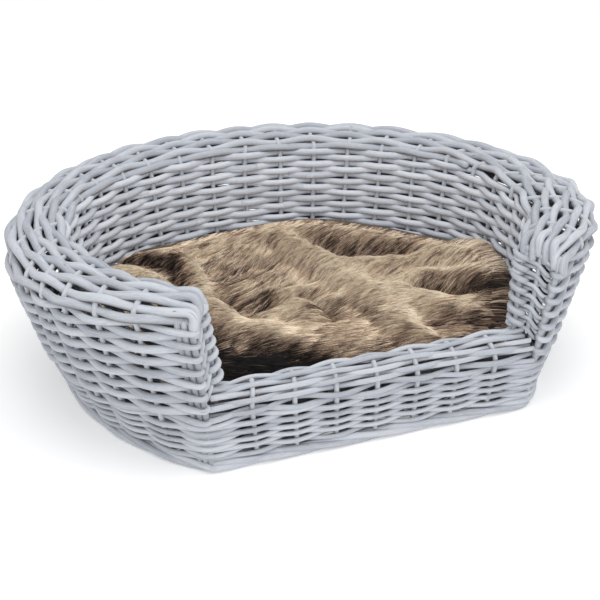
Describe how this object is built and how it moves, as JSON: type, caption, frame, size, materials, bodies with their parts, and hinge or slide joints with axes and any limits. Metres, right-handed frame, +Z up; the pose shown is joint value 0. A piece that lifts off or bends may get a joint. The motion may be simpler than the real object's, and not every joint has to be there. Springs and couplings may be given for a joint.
{
  "type": "wicker pet bed basket",
  "caption": "Low double-walled wicker pet sofa bed: flared oval wall cut away at the front, broad rolled rim, low front sill and a loose faux-fur cushion that lifts out.",
  "frame": {"origin": "on the floor at the middle of the bounding box", "axes": "+Z up, +X to the basket's width (right when seen from the front), -Y towards the low front"},
  "size_m": [0.569, 0.4485, 0.17],
  "materials": {
    "painted_willow_weavers": "pale blue-grey paint on round willow, matte to satin",
    "painted_willow_stakes": "pale blue-grey paint on round willow, matte to satin",
    "cushion_lining": "plain woven cloth",
    "cushion_fur": "long-pile faux fur, cream and tan with dark brown tips",
    "cushion_filling": "loose white fibre"
  },
  "bodies": {
    "basket": {"foot_border": "painted_willow_weavers", "base_weave": "painted_willow_weavers", "outer_siding": "painted_willow_weavers", "rim_roll": "painted_willow_weavers", "inner_siding": "painted_willow_weavers", "front_wall": "painted_willow_weavers", "end_panel_left": "painted_willow_weavers", "end_panel_right": "painted_willow_weavers", "outer_post_left": "painted_willow_stakes", "outer_post_right": "painted_willow_stakes", "inner_post_left": "painted_willow_stakes", "inner_post_right": "painted_willow_stakes", "side_stake_01": "painted_willow_stakes", "side_stake_02": "painted_willow_stakes", "side_stake_03": "painted_willow_stakes", "side_stake_04": "painted_willow_stakes", "side_stake_05": "painted_willow_stakes", "side_stake_06": "painted_willow_stakes", "side_stake_07": "painted_willow_stakes", "side_stake_08": "painted_willow_stakes", "side_stake_09": "painted_willow_stakes", "side_stake_10": "painted_willow_stakes", "side_stake_11": "painted_willow_stakes", "side_stake_12": "painted_willow_stakes", "side_stake_13": "painted_willow_stakes", "side_stake_14": "painted_willow_stakes", "side_stake_15": "painted_willow_stakes", "side_stake_16": "painted_willow_stakes", "side_stake_17": "painted_willow_stakes", "side_stake_18": "painted_willow_stakes", "side_stake_19": "painted_willow_stakes", "side_stake_20": "painted_willow_stakes", "side_stake_21": "painted_willow_stakes", "side_stake_22": "painted_willow_stakes", "side_stake_23": "painted_willow_stakes", "side_stake_24": "painted_willow_stakes", "side_stake_25": "painted_willow_stakes", "side_stake_26": "painted_willow_stakes", "front_stake_01": "painted_willow_stakes", "front_stake_02": "painted_willow_stakes", "front_stake_03": "painted_willow_stakes", "front_stake_04": "painted_willow_stakes", "front_stake_05": "painted_willow_stakes", "front_stake_06": "painted_willow_stakes", "front_stake_07": "painted_willow_stakes", "end_stake_left": "painted_willow_stakes", "end_stake_right": "painted_willow_stakes", "base_rod_01": "painted_willow_stakes", "base_rod_02": "painted_willow_stakes", "base_rod_03": "painted_willow_stakes", "base_rod_04": "painted_willow_stakes", "base_rod_05": "painted_willow_stakes", "base_rod_06": "painted_willow_stakes", "base_rod_07": "painted_willow_stakes"},
    "cushion": {"cushion_lining": "cushion_lining", "cushion_fur_cover": "cushion_fur", "cushion_filling": "cushion_filling"}
  },
  "joints": [
    {"name": "cushion_lift", "type": "slide", "parent": "basket", "child": "cushion", "axis": [0, 0, 1], "range_m": [0, 0.3]}
  ]
}
